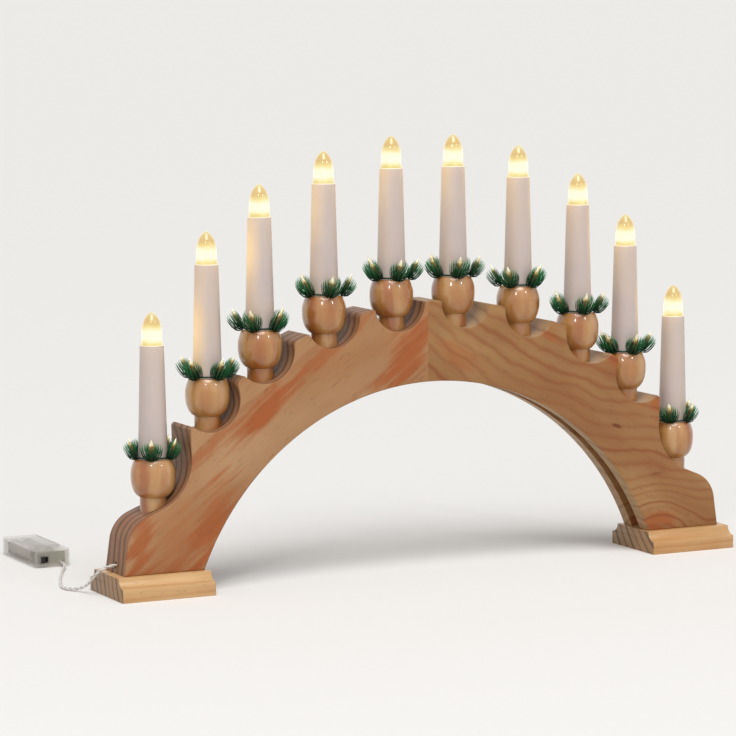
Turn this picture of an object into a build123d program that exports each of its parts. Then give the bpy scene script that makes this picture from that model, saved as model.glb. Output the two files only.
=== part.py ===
from build123d import *
import os
from math import acos, asin, cos, degrees, hypot, pi, radians, sin, sqrt, tan

# Electric candle arch: two scalloped pine boards on moulded feet, ten turned holders with
# tapered candles, bulbs and needle rings, and a battery box on a short lead.
# Millimetres, Z up, floor at 0, X along the arch, Y through its thickness, front at -Y.

# Feet: a square band with a cove above it
foot_length = 72.1
foot_depth = 62.1
foot_band = 9.9
cove_height = 6.75
cove_depth = 7.9
foot_past_leg = 6.45

# Arch boards
board_thickness = 36.0
joint_x = -4.5
crown_top = 202.6
crown_radius = 272.0
span_top = 143.0
span_radius = 200.0
leg_end_x = 248.7
leg_lean = 8.2
shoulder_slope = 21.8
shoulder_radius = 24.0
nose_radius = 4.0
land_edge_radius = 0.9
end_nose_share = 0.4
end_edge_share = 0.27

# Candle places from the outside in, and the scallop under each: radius, shift outwards from
# the candle and depth below the crown. The outermost one is open to the end of the arch.
candle_x = (218.0, 174.8, 132.8, 81.1, 25.8)
scallop_radius = (37.0, 23.0, 23.5, 21.5, 20.5)
scallop_shift = (14.4, 5.0, 4.0, 1.2, 1.8)
scallop_depth = (22.7, 19.0, 18.7, 20.2)
end_scallop_low = 60.1
end_wall_lean = 2.0

# Wiring ways in the boards
groove_width = 12.0
groove_depth = 14.0
wire_hole_radius = 2.5
lead_hole_z = 22.5

# Joint dowels and foot screws
dowel_radius = 4.0
dowel_length = 32.0
dowel_spread = 20.0
dowel_chamfer = 0.6
dowel_end_gap = 0.5
screw_radius = 1.9
screw_head_radius = 3.8
screw_head_recess = 0.8
screw_bite = 20.0
screw_tip_gap = 1.0
screw_pitch_x = 26.0
screw_pitch_y = 18.0
wood_fit = 0.05

# Turned holder
ball_radius = 16.3
ball_above = 12.7
ball_below = 15.0
lip_width = 1.97
neck_radius = 9.8
neck_length = 20.0
neck_show = 9.9
neck_chamfer = 0.6
socket_fit = 0.1
cup_depth = 5.0

# Candle sleeve
sleeve_height = 82.3
sleeve_base_radius = 10.75
sleeve_top_radius = 8.6
sleeve_wall = 1.2
sleeve_fit = 0.15
rim_bevel = 0.5

# Bulb and its light
bulb_height = 23.4
bulb_swell = 0.2
bulb_wall = 0.8
bulb_collar_inset = 0.7
bulb_collar_height = 1.0
bulb_skirt = 6.0
bulb_fit = 0.1
led_radius = 2.5
led_rise = 10.0
led_disc_inset = 0.4
led_disc_thickness = 1.6

# Needle ring: a wire ring with five tufts, each a bud in a cup of needles
ring_wire_radius = 0.6
ring_slack = 0.95
ring_seat_gap = 0.3
tuft_count = 5
tuft_rise = 60.0
tuft_reach = 23.0
end_wall_clear = 1.0
bud_radius = 2.0
bud_length = 12.0
bud_root = 0.8
bud_root_radius = 0.95
needle_base = 0.42
needle_tip = 0.2
low_needles = 6
low_needle_lean = 33.0
low_needle_flare = 12.0
high_needles = 3
high_needle_lean = 18.0
ring_turns = (0, 36, -18, 20, 21, 15, -25, 17, 24, -14)
ring_facing = -116.5

# Lead and loom
lead_radius = 1.3
riser_radius = 1.0
loom_gap = 0.3
lead_inset = 2.9
lead_floor_gap = 0.1

# Battery box for two AAA cells
box_x = -245.5
box_front_y = 130.0
case_wall = 1.4
case_corner_radius = 3.0
case_edge_radius = 1.2
switch_bay = 18.5
divider = 1.2
lid_thickness = 1.6
lid_tongue = 0.7
lid_tongue_height = 0.8
lid_fit = 0.15
thumb_dish_radius = 4.0
thumb_dish_depth = 0.6
cell_radius = 5.2
cell_length = 43.2
cell_nub_radius = 1.8
cell_nub_length = 1.3
cell_gap = 0.9
cell_fit = 0.1
cell_side_room = 2.0
cell_head_room = 0.5
cell_edge = 0.5
cell_rib_width = 0.6
cell_rib_height = 4.0
contact_thickness = 0.5
contact_width = 8.0
leaf_rise = 3.0
leaf_width = 4.0

# Slide switch
window_shift = -6.5
window_z = 6.2
knob_width = 3.0
knob_height = 4.4
knob_proud = 0.5
knob_travel = 2.8
knob_fit = 0.2
switch_setback = 0.6
switch_depth = 4.4
switch_wall = 1.6
switch_board_thickness = 1.0
switch_board_side_room = 0.85
switch_board_head_room = 1.6
lead_entry_shift = 7.5
lead_entry_lift = 0.4
lead_entry_fit = 0.3

# Values worked out from the sizes above
foot_top = foot_band + cove_height
foot_end_x = leg_end_x + foot_past_leg
foot_mid_x = foot_end_x - foot_length / 2
crown_z = crown_top - crown_radius
span_z = span_top - span_radius
groove_radius = span_radius + groove_depth
loom_radius = groove_radius - lead_radius - loom_gap
scallop_low = [end_scallop_low]
for x, depth in zip(candle_x[1:], scallop_depth):
    scallop_low.append(crown_z + sqrt(crown_radius**2 - x**2) - depth)
holder_height = ball_above + ball_below
ball_top = [low + neck_show + holder_height for low in scallop_low]
socket_floor = [top - holder_height - neck_length for top in ball_top]
sleeve_slope = (sleeve_base_radius - sleeve_top_radius) / sleeve_height
sleeve_foot_radius = sleeve_base_radius + sleeve_slope * cup_depth
cup_radius = sleeve_foot_radius + sleeve_fit
lip_radius = cup_radius + lip_width
skirt_radius = sleeve_top_radius - sleeve_wall - bulb_fit
bulb_radius = skirt_radius + bulb_swell
bulb_collar_radius = sleeve_top_radius - bulb_collar_inset
led_disc_radius = skirt_radius - led_disc_inset
ring_radius = sleeve_base_radius + ring_slack + ring_wire_radius
end_tuft_reach = scallop_radius[0] - scallop_shift[0] - end_wall_clear
led_disc_top = sleeve_height - bulb_skirt
riser_top = led_disc_top - led_disc_thickness
places = [(-x, top, floor) for x, top, floor in zip(candle_x, ball_top, socket_floor)]
places += [(-x, top, floor) for x, top, floor in reversed(places)]
far = 2 * leg_end_x


def save(name, solid):
    solid.label = name
    export_step(solid, os.path.join("parts", name + ".step"))


def rod(radius, start, end):
    start, end = Vector(start), Vector(end)
    along = end - start
    return Plane(start, z_dir=along) * extrude(Circle(radius), along.length)


def turned(outline):
    return revolve(Plane.XZ * make_face(outline), Axis.Z)


# Outline of the boards, drawn with Z up the page
def end_cut():
    lean, slope, tilt = radians(end_wall_lean), radians(shoulder_slope), radians(leg_lean)
    radius = scallop_radius[0]
    centre = Vector(candle_x[0] + scallop_shift[0], scallop_low[0] + radius)
    wall_foot = centre + Vector(-cos(lean), sin(lean)) * radius
    wall_top = wall_foot + Vector(tan(lean), 1) * (crown_top - wall_foot.Y)
    curl = JernArc(wall_foot, (-sin(lean), -cos(lean)), radius, 90 - shoulder_slope + end_wall_lean)
    down_slope = Vector(cos(slope), -sin(slope))
    down_end = Vector(sin(tilt), -cos(tilt))
    leg_foot = Vector(leg_end_x, foot_top)
    gap = leg_foot - curl @ 1
    turn = acos(down_slope.dot(down_end))
    run = (gap.Y * down_end.X - gap.X * down_end.Y) / sin(turn)
    bend_start = curl @ 1 + down_slope * (run - shoulder_radius * tan(turn / 2))
    bend = JernArc(bend_start, down_slope, shoulder_radius, -degrees(turn))
    outline = Line(wall_top, wall_foot) + curl + Line(curl @ 1, bend_start) + bend
    outline += Polyline(bend @ 1, leg_foot, (far, foot_top), (far, crown_top), wall_top)
    return make_face(outline)


def fillet_corners(outline, corners, radius):
    picked = [min(outline.vertices(), key=lambda v: (v.center() - c.center()).length) for c in corners]
    return fillet(picked, radius)


def board_outline():
    above_feet = Pos(0, foot_top + far / 2) * Rectangle(2 * far, far)
    outline = Pos(0, crown_z) * Circle(crown_radius) & above_feet
    leg = Pos(leg_end_x - foot_length / 2, foot_top) * Rectangle(foot_length, 2 * end_scallop_low)
    outline += (leg & above_feet) + mirror(leg & above_feet, Plane.YZ)
    outline -= Pos(0, span_z) * Circle(span_radius)
    cuts = [end_cut()]
    for x, low, radius, shift in zip(candle_x[1:], scallop_low[1:], scallop_radius[1:], scallop_shift[1:]):
        cuts.append(Pos(x + shift, low + radius) * Circle(radius))
    for cut in cuts:
        outline -= cut
        outline -= mirror(cut, Plane.YZ)
    on_crown = [v for v in outline.vertices() if abs(hypot(v.X, v.Y - crown_z) - crown_radius) < 0.01]
    for side in (-1, 1):
        land = sorted([v for v in on_crown if v.X * side > 0], key=lambda v: abs(v.X))
        end_land = (land[-1].center() - land[-2].center()).length
        outline = fillet_corners(outline, land[-1:], end_nose_share * end_land)
        outline = fillet_corners(outline, land[-2:-1], end_edge_share * end_land)
        outline = fillet_corners(outline, land[2:-1:2], nose_radius)
        outline = fillet_corners(outline, land[:1] + land[1:-2:2], land_edge_radius)
    return outline


def screw_places(side):
    for step in (-1, 1):
        yield side * foot_mid_x + step * screw_pitch_x / 2, step * screw_pitch_y / 2


def groove_floor(x):
    return span_z + sqrt(groove_radius**2 - x**2)


dowel_z = (groove_floor(0) + socket_floor[-1]) / 2
lead_bend_x = sqrt(groove_radius**2 - (lead_hole_z - span_z) ** 2)
leg_face_x = leg_end_x - tan(radians(leg_lean)) * (lead_hole_z - foot_top)


def arch_boards():
    arch = extrude(Plane.XZ * board_outline(), board_thickness / 2, both=True)
    cuts = [Plane.XZ * Pos(0, span_z) * extrude(Circle(groove_radius), groove_width / 2, both=True)]
    for x, top, floor in places:
        cuts.append(rod(neck_radius + socket_fit, (x, 0, floor), (x, 0, top)))
        at_end = abs(x) == candle_x[0]
        hole_low = lead_hole_z if at_end else groove_floor(x) - groove_depth / 2
        cuts.append(rod(wire_hole_radius, (x, 0, floor + 1), (x, 0, hole_low)))
    inner_x = lead_bend_x - groove_depth / 2
    cuts.append(rod(wire_hole_radius, (-leg_end_x, 0, lead_hole_z), (-inner_x, 0, lead_hole_z)))
    blind_x = candle_x[0] + wire_hole_radius
    cuts.append(rod(wire_hole_radius, (inner_x, 0, lead_hole_z), (blind_x, 0, lead_hole_z)))
    for side in (-1, 1):
        hole = dowel_length / 2 + dowel_end_gap
        y = side * dowel_spread / 2
        start, end = (joint_x - hole, y, dowel_z), (joint_x + hole, y, dowel_z)
        cuts.append(rod(dowel_radius + wood_fit, start, end))
        for x, y in screw_places(side):
            tip_z = foot_top + screw_bite + screw_tip_gap
            cuts.append(rod(screw_radius + wood_fit, (x, y, 0), (x, y, tip_z)))
    arch -= cuts
    joint = Plane.YZ.offset(joint_x)
    return split(arch, joint, Keep.BOTTOM), split(arch, joint, Keep.TOP)


def dowels():
    pins = []
    for side in (-1, 1):
        y, half = side * dowel_spread / 2, dowel_length / 2
        pin = rod(dowel_radius, (joint_x - half, y, dowel_z), (joint_x + half, y, dowel_z))
        pins.append(chamfer(pin.edges().filter_by(GeomType.CIRCLE), dowel_chamfer))
    return Compound(pins)


def screw():
    head = screw_head_radius - screw_radius
    tip_z = foot_top + screw_bite
    profile = Polyline(
        (0, screw_head_recess),
        (screw_head_radius, screw_head_recess),
        (screw_radius, screw_head_recess + head),
        (screw_radius, tip_z - 2 * screw_radius),
        (0, tip_z),
        (0, screw_head_recess),
    )
    return turned(profile)


def foot(side):
    low, high = foot_depth / 2, foot_depth / 2 - cove_depth
    round_mid = (low - cove_depth * sqrt(0.5), foot_top - cove_height * sqrt(0.5))
    cove = ThreePointArc((low, foot_band), round_mid, (high, foot_top))
    edge = Polyline((0, 0), (low, 0), (low, foot_band)) + cove + Line((high, foot_top), (0, foot_top))
    section = make_face(edge + mirror(edge, Plane.YZ))
    wood = extrude(Plane.YZ * section, foot_length / 2, both=True)
    wood = Pos(side * foot_mid_x, 0, 0) * wood
    head = screw_head_radius - screw_radius
    for x, y in screw_places(side):
        wood -= rod(screw_radius + wood_fit, (x, y, -1), (x, y, foot_top + 1))
        wood -= Pos(x, y, screw_head_recess + head / 2) * Cone(screw_head_radius, screw_radius, head)
        wood -= rod(screw_head_radius, (x, y, -1), (x, y, screw_head_recess))
    return wood


# Turned and moulded pieces of a candle, with the top of the holder's ball at the origin
# The ball is widest above its middle, and its curve is given as shares of its radius and height
def holder():
    foot_z = -holder_height - neck_length
    belly = Spline(
        (neck_radius, -holder_height),
        (0.914 * ball_radius, -ball_above - 0.583 * ball_below),
        (ball_radius, -ball_above),
        (0.962 * ball_radius, -0.48 * ball_above),
        (lip_radius, 0),
        tangents=[(1, 0.45), (-0.75, 1)],
    )
    edge = Polyline(
        (lip_radius, 0),
        (cup_radius, 0),
        (cup_radius, -cup_depth),
        (wire_hole_radius, -cup_depth),
        (wire_hole_radius, foot_z),
        (neck_radius - neck_chamfer, foot_z),
        (neck_radius, foot_z + neck_chamfer),
        (neck_radius, -holder_height),
    )
    return turned(belly + edge)


def sleeve():
    bore_low = sleeve_foot_radius - sleeve_wall
    bore_high = sleeve_top_radius - sleeve_wall
    shoulder_z = sleeve_height - rim_bevel
    edge = Polyline(
        (bore_low, -cup_depth),
        (sleeve_foot_radius, -cup_depth),
        (sleeve_top_radius + sleeve_slope * rim_bevel, shoulder_z),
        (sleeve_top_radius - rim_bevel, sleeve_height),
        (bore_high, sleeve_height),
        (bore_low, -cup_depth),
    )
    return turned(edge)


def flame_curve(inset, tip_inset):
    return Spline(
        (skirt_radius - inset, sleeve_height + bulb_collar_height),
        (bulb_radius - inset, sleeve_height + 0.3 * bulb_height),
        (0.84 * bulb_radius - inset, sleeve_height + 0.645 * bulb_height),
        (0.49 * bulb_radius - inset, sleeve_height + 0.88 * bulb_height - tip_inset / 2),
        (0, sleeve_height + bulb_height - tip_inset),
        tangents=[(0.1, 1), (-1, 0)],
    )


def bulb():
    outside = flame_curve(0, 0)
    inside = flame_curve(bulb_wall, bulb_wall)
    skirt_z = sleeve_height - bulb_skirt
    collar_z = sleeve_height + bulb_collar_height
    foot = Polyline(
        inside @ 0,
        (skirt_radius - bulb_wall, skirt_z),
        (skirt_radius, skirt_z),
        (skirt_radius, sleeve_height),
        (bulb_collar_radius, sleeve_height),
        (bulb_collar_radius, collar_z),
        outside @ 0,
    )
    return turned(outside + Line(outside @ 1, inside @ 1) + inside + foot)


def led():
    dome_z = led_disc_top + led_rise - led_radius
    dome = CenterArc((0, dome_z), led_radius, 0, 90)
    edge = Polyline(
        dome @ 1,
        (0, riser_top),
        (led_disc_radius, riser_top),
        (led_disc_radius, led_disc_top),
        (led_radius, led_disc_top),
        dome @ 0,
    )
    return turned(dome + edge)


# Loose needle ring, with the top of the holder's ball at the origin
def needle(length):
    low = RegularPolygon(needle_base, 3)
    high = Pos(0, 0, length) * RegularPolygon(needle_tip, 3)
    return loft([low, high], ruled=True)


def tuft():
    bud_edge = Polyline(
        (0, -bud_root),
        (bud_root_radius, -bud_root),
        (bud_radius, 0.12 * bud_length),
        (bud_radius, 0.36 * bud_length),
        (0, bud_length),
        (0, -bud_root),
    )
    outward_rise = radians(tuft_rise - low_needle_lean)
    needle_end = (tuft_reach - ring_radius - needle_base) / cos(outward_rise)
    strands = []
    rows = ((low_needles, low_needle_lean, low_needle_flare, 1.0), (high_needles, high_needle_lean, 0, 2.2))
    for count, lean, flare, root in rows:
        for step in range(count):
            around = 2 * pi * step / count + pi / 2
            tilt = radians(lean + flare * cos(around) ** 2)
            way = Vector(sin(tilt) * cos(around), sin(tilt) * sin(around), cos(tilt))
            start = root * bud_radius
            strands.append(Plane(way * start, z_dir=way) * needle(needle_end - start))
    return turned(bud_edge).fuse(*strands)


def needle_ring(reach):
    size = (reach - ring_radius) / (tuft_reach - ring_radius)
    rise = radians(tuft_rise)
    ring_z = ring_seat_gap + bud_root * sin(rise) + bud_root_radius * cos(rise)
    stand = Plane((ring_radius, 0, ring_z), x_dir=(0, 1, 0), z_dir=(cos(rise), 0, sin(rise)))
    first = stand * scale(tuft(), size)
    tufts = [Rot(0, 0, 360 * step / tuft_count) * first for step in range(tuft_count)]
    wire = Pos(0, 0, ring_z) * Torus(ring_radius, ring_wire_radius)
    return wire.fuse(*tufts)


# Wiring inside the arch: a loom along the groove with a riser to each light
def loom():
    below = asin((lead_hole_z - span_z) / loom_radius)
    overrun = lead_radius / loom_radius
    turn = CenterArc((0, span_z), loom_radius, degrees(below - overrun), 180 - 2 * degrees(below - overrun))
    path = Plane.XZ * turn
    run = sweep(Plane(path @ 0, z_dir=path % 0) * Circle(lead_radius), path)
    bend_x = loom_radius * cos(below)
    parts = [
        rod(lead_radius, (-bend_x, 0, lead_hole_z), (lead_inset - leg_face_x, 0, lead_hole_z)),
        rod(lead_radius, (bend_x, 0, lead_hole_z), (candle_x[0] + lead_radius, 0, lead_hole_z)),
    ]
    for x, top, floor in places:
        at_end = abs(x) == candle_x[0]
        low = lead_hole_z if at_end else span_z + sqrt(loom_radius**2 - x**2)
        parts.append(rod(riser_radius, (x, 0, low), (x, 0, top + riser_top)))
    return run.fuse(*parts)


# Battery box, drawn with the middle of its front foot edge at the origin
bay_length = cell_length + cell_nub_length + leaf_rise + 2 * contact_thickness
bay_front = case_wall + switch_bay + divider
bay_back = bay_front + bay_length
case_length = bay_back + case_wall
case_width = 2 * (case_wall + cell_side_room + 2 * cell_radius) + cell_gap
case_height = case_wall + cell_fit + 2 * cell_radius + cell_head_room + lid_thickness
inner_width = case_width - 2 * case_wall
lid_low = case_height - lid_thickness
lid_front = case_wall + switch_bay
cell_x = cell_radius + cell_gap / 2
cell_z = case_wall + cell_fit + cell_radius
switch_front = case_wall + switch_setback
switch_back = switch_front + switch_depth
lead_entry_z = case_wall + lead_radius + lead_entry_fit + lead_entry_lift
box_place = Pos(box_x, box_front_y, 0)


def block(x_low, x_high, y_low, y_high, z_low, z_high):
    centre = Pos((x_low + x_high) / 2, (y_low + y_high) / 2, (z_low + z_high) / 2)
    return centre * Box(x_high - x_low, y_high - y_low, z_high - z_low)


def across(width, y_low, y_high, z_low, z_high):
    return block(-width / 2, width / 2, y_low, y_high, z_low, z_high)


def case_form():
    form = across(case_width, 0, case_length, 0, case_height)
    form = fillet(form.edges().filter_by(Axis.Z), case_corner_radius)
    flat = form.faces().filter_by(Axis.Z)
    return fillet(flat.edges(), case_edge_radius)


def case():
    window = knob_width + knob_travel + 2 * knob_fit
    window_height = knob_height + 2 * knob_fit
    groove = inner_width + 2 * lid_tongue
    tongue_top = lid_low + lid_tongue_height
    rib = across(cell_rib_width, bay_front, bay_back, 0.5 * case_wall, case_wall + cell_rib_height)
    entry = (lead_entry_shift, -case_wall, lead_entry_z)
    entry_end = (lead_entry_shift, 2 * case_wall, lead_entry_z)
    cuts = [
        across(inner_width, case_wall, case_wall + switch_bay, case_wall, case_height - case_wall),
        across(inner_width, bay_front, bay_back, case_wall, case_height + 1),
        across(inner_width, lid_front, case_length + 1, lid_low - lid_fit, case_height + 1),
        across(groove, lid_front, case_length + 1, lid_low - lid_fit, tongue_top + lid_fit),
        Pos(window_shift, 0, window_z) * Box(window, 3 * case_wall, window_height),
        rod(lead_radius + lead_entry_fit, entry, entry_end),
    ]
    return case_form() - cuts + rib


def lid():
    back = case_length
    front = lid_front + lid_fit
    width = inner_width - 2 * lid_fit
    tongue = inner_width + 2 * lid_tongue - 2 * lid_fit
    plate = across(width, front, back, lid_low, case_height)
    plate += across(tongue, front, back, lid_low, lid_low + lid_tongue_height)
    ball = (thumb_dish_radius**2 + thumb_dish_depth**2) / (2 * thumb_dish_depth)
    dish = Pos(0, (front + back) / 2, case_height + ball - thumb_dish_depth) * Sphere(ball)
    return (plate & case_form()) - dish


def switch_knob():
    length = knob_proud + switch_back - switch_wall - knob_fit
    place = Pos(window_shift - knob_travel / 2, length / 2 - knob_proud, window_z)
    return place * Box(knob_width, length, knob_height)


def switch_can():
    hollow_width = knob_width + knob_travel + 2 * knob_fit
    hollow_height = knob_height + 2 * knob_fit
    depth = switch_depth - switch_wall
    can = Pos(window_shift, switch_front + switch_depth / 2, window_z)
    can *= Box(hollow_width + 2 * switch_wall, switch_depth, hollow_height + switch_wall)
    hollow = Pos(window_shift, switch_front + depth / 2, window_z) * Box(hollow_width, depth, hollow_height)
    return can - hollow


def circuit_board():
    width = inner_width - 2 * switch_board_side_room
    top = case_height - case_wall - switch_board_head_room
    return across(width, switch_back, switch_back + switch_board_thickness, case_wall, top)


def cell(side):
    flat_y = bay_front + contact_thickness + (cell_nub_length if side < 0 else leaf_rise)
    body = rod(cell_radius, (side * cell_x, flat_y, cell_z), (side * cell_x, flat_y + cell_length, cell_z))
    body = chamfer(body.edges().filter_by(GeomType.CIRCLE), cell_edge)
    nub_y = flat_y + cell_length if side > 0 else flat_y - cell_nub_length
    nub_end = (side * cell_x, nub_y + cell_nub_length, cell_z)
    return body + rod(cell_nub_radius, (side * cell_x, nub_y, cell_z), nub_end)


def leaf(x, y, way):
    half = cell_radius / 2
    inner_half = half - contact_thickness
    bow = ThreePointArc((0, -half), (leaf_rise, 0), (0, half))
    inner = ThreePointArc((0, inner_half), (leaf_rise - contact_thickness, 0), (0, -inner_half))
    strip = make_face(bow + Line(bow @ 1, inner @ 0) + inner + Line(inner @ 1, bow @ 0))
    strip = extrude(strip, leaf_width / 2, both=True)
    return Plane((x, y, cell_z), x_dir=(0, way, 0), z_dir=(1, 0, 0)) * strip


def contact_plate(x_low, x_high, y_low):
    return block(x_low, x_high, y_low, y_low + contact_thickness, case_wall, cell_z + cell_radius / 2)


def contacts():
    half = contact_width / 2
    plates = [contact_plate(side * cell_x - half, side * cell_x + half, bay_front) for side in (-1, 1)]
    front = [plates[0], plates[1] + leaf(cell_x, bay_front + contact_thickness, 1)]
    rear_y = bay_back - contact_thickness
    rear = contact_plate(-cell_x - half, cell_x + half, rear_y)
    rib_top = case_wall + cell_rib_height + cell_fit
    rib_room = across(cell_rib_width + 2 * cell_fit, rear_y - 1, bay_back + 1, 0, rib_top)
    return Compound(front), rear + leaf(-cell_x, rear_y, -1) - rib_room


# Free lead from the hole in the left leg, over the foot and along the floor to the box
floor_z = lead_radius + lead_floor_gap
lead_entry_x = box_x + lead_entry_shift
lead_route = [
    (lead_inset - leg_face_x, 0, lead_hole_z),
    (2.55 - foot_end_x, 0, lead_hole_z),
    (-4.45 - foot_end_x, 2.6, foot_top + 2.35),
    (-7.05 - foot_end_x, 9.2, 12.4),
    (-7.45 - foot_end_x, 18.4, 6.2),
    (-10.25 - foot_end_x, 27.4, 2.2),
    (-15.35 - foot_end_x, 34.2, 1.45),
    (-17.15 - foot_end_x, 43.6, floor_z),
    (-12.75 - foot_end_x, 57.5, floor_z),
    (-6.85 - foot_end_x, 73.0, floor_z),
    (lead_entry_x - 16.3, box_front_y - 39.0, floor_z),
    (lead_entry_x - 8.4, box_front_y - 22.0, floor_z + 0.2),
    (lead_entry_x, box_front_y - 7.5, lead_entry_z),
    (lead_entry_x, box_front_y + switch_back, lead_entry_z),
]


def lead():
    points = [Vector(point) for point in lead_route]
    runs = [b - a for a, b in zip(points, points[1:])]
    radii = []
    for before, after in zip(runs, runs[1:]):
        turn = radians(before.get_angle(after))
        radii.append(0.45 * min(before.length, after.length) / tan(turn / 2))
    path = FilletPolyline(*points, radius=radii)
    tube = sweep(Plane(path @ 0, z_dir=path % 0) * Circle(lead_radius), path)
    print("lead radii", [round(radius, 1) for radius in radii])
    print("lead length", round(path.length, 1))
    plain_volume = pi * lead_radius**2 * path.length
    print("lead volume over section times length", round(tube.volume / plain_volume, 4))
    return tube


os.makedirs("parts", exist_ok=True)

left_board, right_board = arch_boards()
save("arch_left_board", left_board)
save("arch_right_board", right_board)
save("board_dowels", dowels())
save("left_foot", foot(-1))
save("right_foot", foot(1))
save("foot_screws", Compound([Pos(x, y, 0) * screw() for side in (-1, 1) for x, y in screw_places(side)]))

holder_solid, sleeve_solid, bulb_solid, led_solid = holder(), sleeve(), bulb(), led()
ring_solid, end_ring_solid = needle_ring(tuft_reach), needle_ring(end_tuft_reach)
lights = []
for number, (x, top, floor) in enumerate(places):
    here = Pos(x, 0, top)
    tag = f"{number + 1:02d}"
    ring = end_ring_solid if abs(x) == candle_x[0] else ring_solid
    save("holder_" + tag, here * holder_solid)
    save("candle_" + tag, here * sleeve_solid)
    save("bulb_" + tag, here * bulb_solid)
    save("candle_ring_" + tag, here * Rot(0, 0, ring_facing + ring_turns[number]) * ring)
    lights.append(here * led_solid)
save("leds", Compound(lights))
save("wire_loom", loom())

front_contacts, rear_contact = contacts()
save("battery_case", box_place * case())
save("battery_lid", box_place * lid())
save("switch_slider", box_place * switch_knob())
save("switch_body", box_place * switch_can())
save("switch_board", box_place * circuit_board())
save("aaa_cells", box_place * Compound([cell(-1), cell(1)]))
save("front_contacts", box_place * front_contacts)
save("rear_contact", box_place * rear_contact)
save("battery_lead", lead())
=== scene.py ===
from math import atan2, ceil, cos, pi, radians, sin, tan
import bpy
from mathutils import Matrix, Vector
from mathutils.geometry import interpolate_bezier


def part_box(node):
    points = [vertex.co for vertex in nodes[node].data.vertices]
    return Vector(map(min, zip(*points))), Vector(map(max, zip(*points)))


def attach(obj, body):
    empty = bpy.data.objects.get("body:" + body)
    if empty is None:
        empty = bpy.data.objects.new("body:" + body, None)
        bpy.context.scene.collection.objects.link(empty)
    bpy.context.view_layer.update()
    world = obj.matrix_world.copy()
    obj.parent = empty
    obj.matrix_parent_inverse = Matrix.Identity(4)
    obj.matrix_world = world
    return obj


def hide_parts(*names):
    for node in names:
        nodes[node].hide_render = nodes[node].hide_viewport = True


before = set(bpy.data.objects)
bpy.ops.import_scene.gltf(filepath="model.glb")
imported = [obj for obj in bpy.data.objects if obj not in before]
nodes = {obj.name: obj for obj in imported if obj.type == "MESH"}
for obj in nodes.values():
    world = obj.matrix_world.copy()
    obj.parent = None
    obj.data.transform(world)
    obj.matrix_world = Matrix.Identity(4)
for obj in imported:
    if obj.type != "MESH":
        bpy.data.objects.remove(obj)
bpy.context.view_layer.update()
bpy.context.scene.view_settings.view_transform = "Standard"
print("frame loaded:", len(nodes), "nodes")


def clearSelection():
    if bpy.context.object and bpy.context.object.mode != "OBJECT":
        bpy.ops.object.mode_set(mode="OBJECT")
    bpy.ops.object.select_all(action="DESELECT")


def selectOnly(*pieces):
    clearSelection()
    for piece in pieces:
        piece.select_set(True)
    bpy.context.view_layer.objects.active = pieces[0]


# camera where the photograph was taken from
photoView = {
    "place": (-1.15760, -2.23232, 0.44947),
    "yaw": -26.4866,
    "tilt": 90 - 6.7661,
    "roll": -0.166,
    "lens": 166.30,
    "sensor": 36.0,
    "reach": 200,
}


def setCamera():
    clearSelection()
    bpy.ops.object.camera_add(location=photoView["place"])
    camera = bpy.context.object
    turn = Matrix.Rotation(radians(photoView["yaw"]), 3, "Z")
    turn = turn @ Matrix.Rotation(radians(photoView["tilt"]), 3, "X")
    turn = turn @ Matrix.Rotation(radians(photoView["roll"]), 3, "Z")
    camera.rotation_euler = turn.to_euler()
    camera.data.sensor_width = photoView["sensor"]
    camera.data.lens = photoView["lens"]
    camera.data.clip_end = photoView["reach"]
    bpy.context.scene.camera = camera
    print("camera set")


# colours are given as they show, 0 to 255
def tint(red, green, blue):
    def plain(value):
        value /= 255
        return value / 12.92 if value <= 0.04045 else ((value + 0.055) / 1.055) ** 2.4
    return (plain(red), plain(green), plain(blue), 1.0)


def newFinish(name, **sockets):
    finish = bpy.data.materials.new(name)
    finish.use_nodes = True
    shader = finish.node_tree.nodes["Principled BSDF"]
    for socket, value in sockets.items():
        shader.inputs[socket.replace("_", " ")].default_value = value
    return finish, finish.node_tree, shader


def addNode(tree, kind, inputs=None, **settings):
    node = tree.nodes.new(kind)
    for key, value in settings.items():
        setattr(node, key, value)
    for key, value in (inputs or {}).items():
        if hasattr(value, "is_output"):
            tree.links.new(value, node.inputs[key])
        else:
            node.inputs[key].default_value = value
    return node


def addMath(tree, operation, first, second=0.0):
    return addNode(tree, "ShaderNodeMath", {0: first, 1: second}, operation=operation).outputs[0]


def addMix(tree, share, first, second, blend="MIX"):
    node = addNode(tree, "ShaderNodeMix", data_type="RGBA", blend_type=blend)
    for index, value in ((0, share), (6, first), (7, second)):
        if hasattr(value, "is_output"):
            tree.links.new(value, node.inputs[index])
        else:
            node.inputs[index].default_value = value
    return node.outputs[2]


def addRamp(tree, share, stops, smooth="LINEAR"):
    node = addNode(tree, "ShaderNodeValToRGB", {0: share})
    node.color_ramp.interpolation = smooth
    while len(node.color_ramp.elements) < len(stops):
        node.color_ramp.elements.new(0.5)
    for element, (place, colour) in zip(node.color_ramp.elements, stops):
        element.position = place
        element.color = colour
    return node.outputs[0]


def grey(level):
    return (level, level, level, 1.0)


def addCoords(tree):
    return addNode(tree, "ShaderNodeTexCoord").outputs["Object"]


def addTally(tree, name):
    return addNode(tree, "ShaderNodeAttribute", attribute_name=name).outputs["Fac"]


def addNoise(tree, vector, scale, detail):
    return addNode(tree, "ShaderNodeTexNoise", {"Vector": vector, "Scale": scale, "Detail": detail}).outputs


def addStretch(tree, vector, scale):
    return addNode(tree, "ShaderNodeMapping", {"Vector": vector, "Scale": scale}).outputs[0]


def addVector(tree, operation, first, second=(0, 0, 0)):
    found = addNode(tree, "ShaderNodeVectorMath", {0: first, 1: second}, operation=operation).outputs
    return found["Value" if operation in ("LENGTH", "DISTANCE") else "Vector"]


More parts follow.
